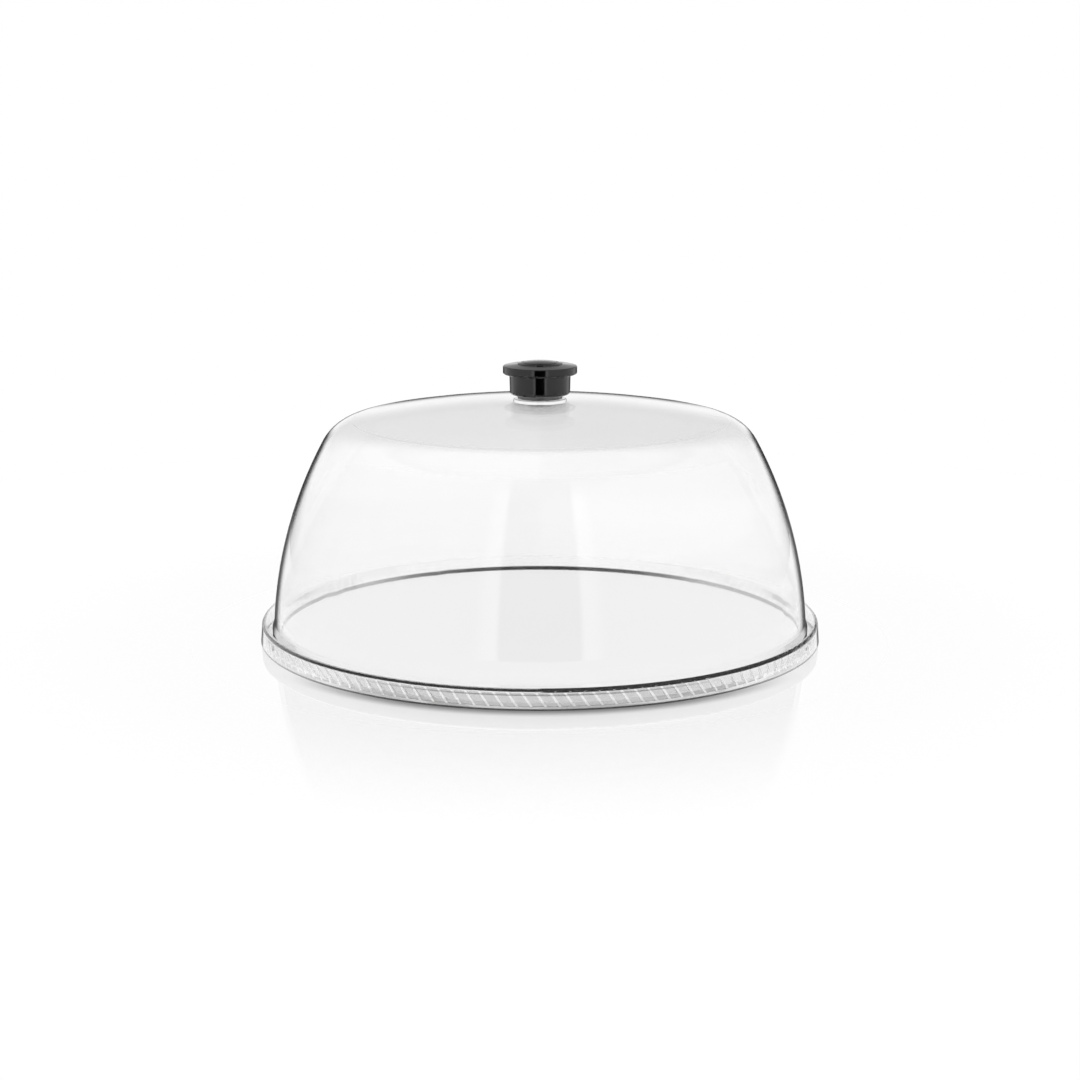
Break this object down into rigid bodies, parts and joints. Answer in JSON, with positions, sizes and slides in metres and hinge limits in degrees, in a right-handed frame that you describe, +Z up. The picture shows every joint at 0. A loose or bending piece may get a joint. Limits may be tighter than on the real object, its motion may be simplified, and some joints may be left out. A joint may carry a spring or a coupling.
{
  "type": "food cover dome",
  "caption": "Clear moulded food cover dome with a black knob, standing inside the raised rim of a clear round serving tray.",
  "frame": {"origin": "centre of the tray's foot, on the surface that the tray stands on", "axes": "+Z up along the axis of the dome and tray; +X and +Y lie in the surface, and the front of the picture is towards -Y"},
  "size_m": [0.35, 0.35, 0.1726],
  "materials": {
    "dome_clear": "clear, polished",
    "tray_clear": "clear, polished rim and satin floor",
    "gasket_grey": "smooth",
    "knob_black": "polished",
    "knob_cap_black": "polished",
    "screw_steel": "plain stainless",
    "washer_steel": "plain stainless"
  },
  "bodies": {
    "tray": {"serving_tray": "tray_clear"},
    "dome": {"dome_shell": "dome_clear", "knob_gasket": "gasket_grey", "knob_body": "knob_black", "knob_cap": "knob_cap_black", "knob_screw": "screw_steel", "screw_washer": "washer_steel"}
  },
  "joints": [
    {"name": "dome_lift", "type": "slide", "parent": "tray", "child": "dome", "axis": [0, 0, 1], "range_m": [0, 0.2]}
  ]
}
